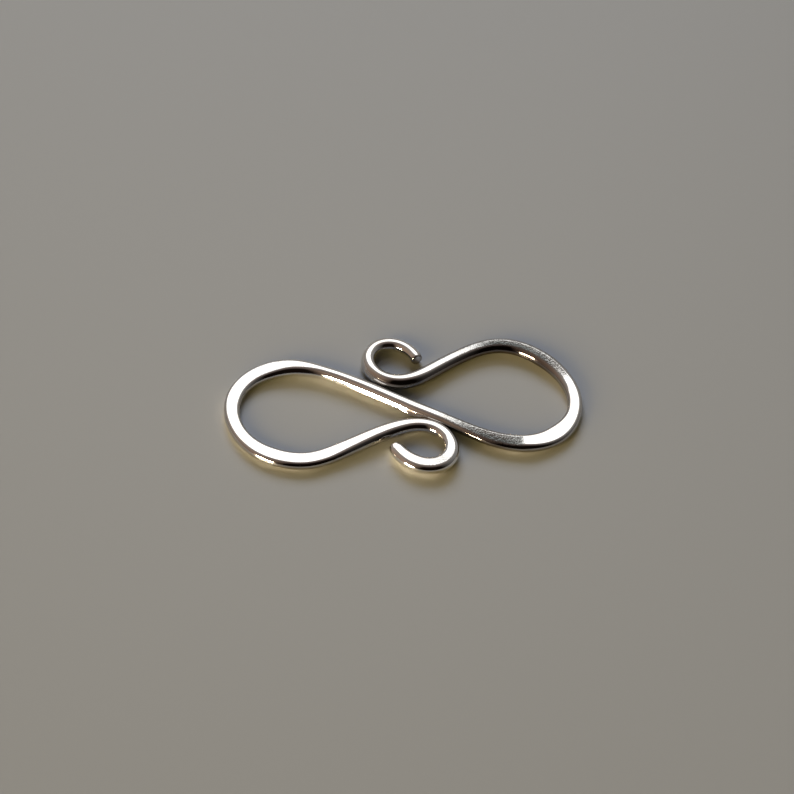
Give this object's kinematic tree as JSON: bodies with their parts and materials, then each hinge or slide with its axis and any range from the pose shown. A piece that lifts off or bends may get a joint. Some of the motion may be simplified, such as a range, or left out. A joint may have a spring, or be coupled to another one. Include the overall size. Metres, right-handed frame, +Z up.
{
  "type": "figure eight clasp",
  "caption": "Hammered silver wire clasp bent into a figure eight: two open teardrop loops that end in small curls beside the crossing leg.",
  "frame": {"origin": "middle of the eight's length and width, on the plane that the clasp lies on", "axes": "+X along the eight, towards the loop whose wire ends in the back curl; +Y from the front curl's side towards the back curl's side; +Z up, out of the face that is seen when it lies down"},
  "size_m": [0.0284, 0.014, 0.001],
  "materials": {
    "silver": "polished hammered sterling silver, flats bright with fine pits, flanks rounded"
  },
  "bodies": {
    "root": {"clasp_wire": "silver"}
  },
  "joints": []
}
